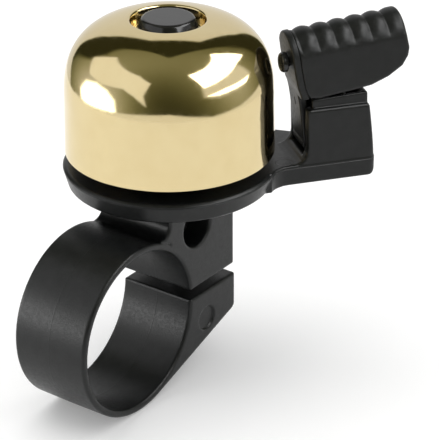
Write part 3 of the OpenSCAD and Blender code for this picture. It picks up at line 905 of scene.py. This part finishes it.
# Soft glows of the studio: azimuth, elevation, half-width in degrees, brightness, set like the cards'
GLOWS = [(135, 10, 37, 0.85), (-70, 44, 36, 0.30), (-62, 10, 28, 0.30), (130, 74, 32, 0.20)]
DARK = 0.04


def studio_level(azimuth, elevation):
    """Brightness of the studio in a direction, arrays in degrees."""
    level = np.full(azimuth.shape, DARK)
    ea = np.radians(elevation)
    for glow_az, glow_el, width, bright in GLOWS:
        turn = np.radians(azimuth - glow_az)
        g = math.radians(glow_el)
        cosine = np.sin(ea) * math.sin(g) + np.cos(ea) * math.cos(g) * np.cos(turn)
        apart = np.degrees(np.arccos(np.clip(cosine, -1, 1)))
        level += bright * np.exp(-(apart / width) ** 2)
    for outline, bright, soft in CARDS.values():
        middle = sum(a for a, _ in outline) / len(outline)
        near = (azimuth - middle + 180) % 360 - 180 + middle
        gap = polygon2(near, elevation, outline)
        cover = np.clip(0.5 - gap / soft, 0, 1)
        cover = cover * cover * (3 - 2 * cover)
        level = level * (1 - cover) + bright * cover
    return level


def reflected_studio():
    """Hemisphere of studio cards that only reflections see."""
    around, up = 480, 120
    azimuth = np.repeat(np.arange(around)[None] * 360 / around, up + 1, 0)
    elevation = np.repeat(np.arange(up + 1)[:, None] * 90 / up, around, 1)
    verts = [CENTRE + STAGE_R * direction(a, e) for a, e in zip(azimuth.ravel(), elevation.ravel())]
    faces = [(j * around + i, j * around + (i + 1) % around,
              (j + 1) * around + (i + 1) % around, (j + 1) * around + i)
             for j in range(up) for i in range(around)]
    shell = add_object("studio_cards", verts, faces, AT_ORIGIN)
    bright = studio_level(azimuth, elevation).ravel()
    warm = np.stack([bright, bright, bright * np.clip(0.40 + 0.85 * bright, 0, 1)], -1)
    level = shell.data.attributes.new("level", "FLOAT_VECTOR", "POINT")
    level.data.foreach_set("vector", warm.ravel().astype(np.float32))
    material = bpy.data.materials.new("studio_cards")
    material.use_nodes = True
    nodes, links = material.node_tree.nodes, material.node_tree.links
    nodes.clear()
    read = nodes.new("ShaderNodeAttribute")
    read.attribute_name = "level"
    glow = nodes.new("ShaderNodeEmission")
    links.new(read.outputs["Vector"], glow.inputs["Color"])
    links.new(glow.outputs[0], nodes.new("ShaderNodeOutputMaterial").inputs["Surface"])
    material.cycles.emission_sampling = "NONE"
    shell.data.materials.append(material)
    for kind in ("camera", "diffuse", "shadow", "transmission", "volume_scatter"):
        setattr(shell, "visible_" + kind, False)


def floor():
    half = 3000.0
    corners = [(-half, -half, 0), (half, -half, 0), (half, half, 0), (-half, half, 0)]
    plane = add_object("pale_floor", corners, [(0, 1, 2, 3)], Matrix.Translation(CENTRE), smooth=False)
    look = Look("floor_paper", (0.86, 0.86, 0.855), roughness=0.9, Specular_IOR_Level=0.1)
    look.tint(look.spread(look.noise(40, 2), 0, 1), (0.85, 0.85, 0.845))
    look.shader.inputs["Emission Color"].default_value = (1, 1, 1, 1)
    look.shader.inputs["Emission Strength"].default_value = 0.2
    plane.data.materials.append(look.material)


def area_light(name, azimuth, elevation, distance, size, power):
    light = bpy.data.lights.new(name, "AREA")
    light.size = size * MM
    light.energy = power
    lamp = bpy.data.objects.new(name, light)
    bpy.context.scene.collection.objects.link(lamp)
    towards = direction(azimuth, elevation)
    target = CENTRE + Vector((0, 0, 30))
    lamp.location = (target + towards * distance) * MM
    lamp.rotation_mode = "QUATERNION"
    lamp.rotation_quaternion = towards.to_track_quat("Z", "Y")
    lamp.visible_glossy = False
    return lamp


def world():
    made = bpy.data.worlds.new("studio")
    made.use_nodes = True
    sky = made.node_tree.nodes["Background"]
    sky.inputs["Color"].default_value = (1, 1, 1, 1)
    sky.inputs["Strength"].default_value = 0.72
    bpy.context.scene.world = made


def camera():
    """Camera at the place, angles and lens that a separate program fitted to the photo."""
    data = bpy.data.cameras.new("camera")
    data.lens = 166.44
    data.sensor_width = 36
    data.clip_start = 0.01
    obj = bpy.data.objects.new("camera", data)
    bpy.context.scene.collection.objects.link(obj)
    obj.location = (-0.215238, -0.178147, 0.158522)
    obj.rotation_euler = Euler([math.radians(turn) for turn in (63.1439, 0.1813, -54.1369)])
    bpy.context.scene.camera = obj


reflected_studio()
floor()
area_light("key_left", 110, 68, 560, 460, 0.8)
area_light("overhead", 60, 84, 600, 600, 1.0)
area_light("fill_right", -70, 45, 600, 400, 0.2)
world()
camera()
bpy.context.scene.view_settings.view_transform = "Standard"
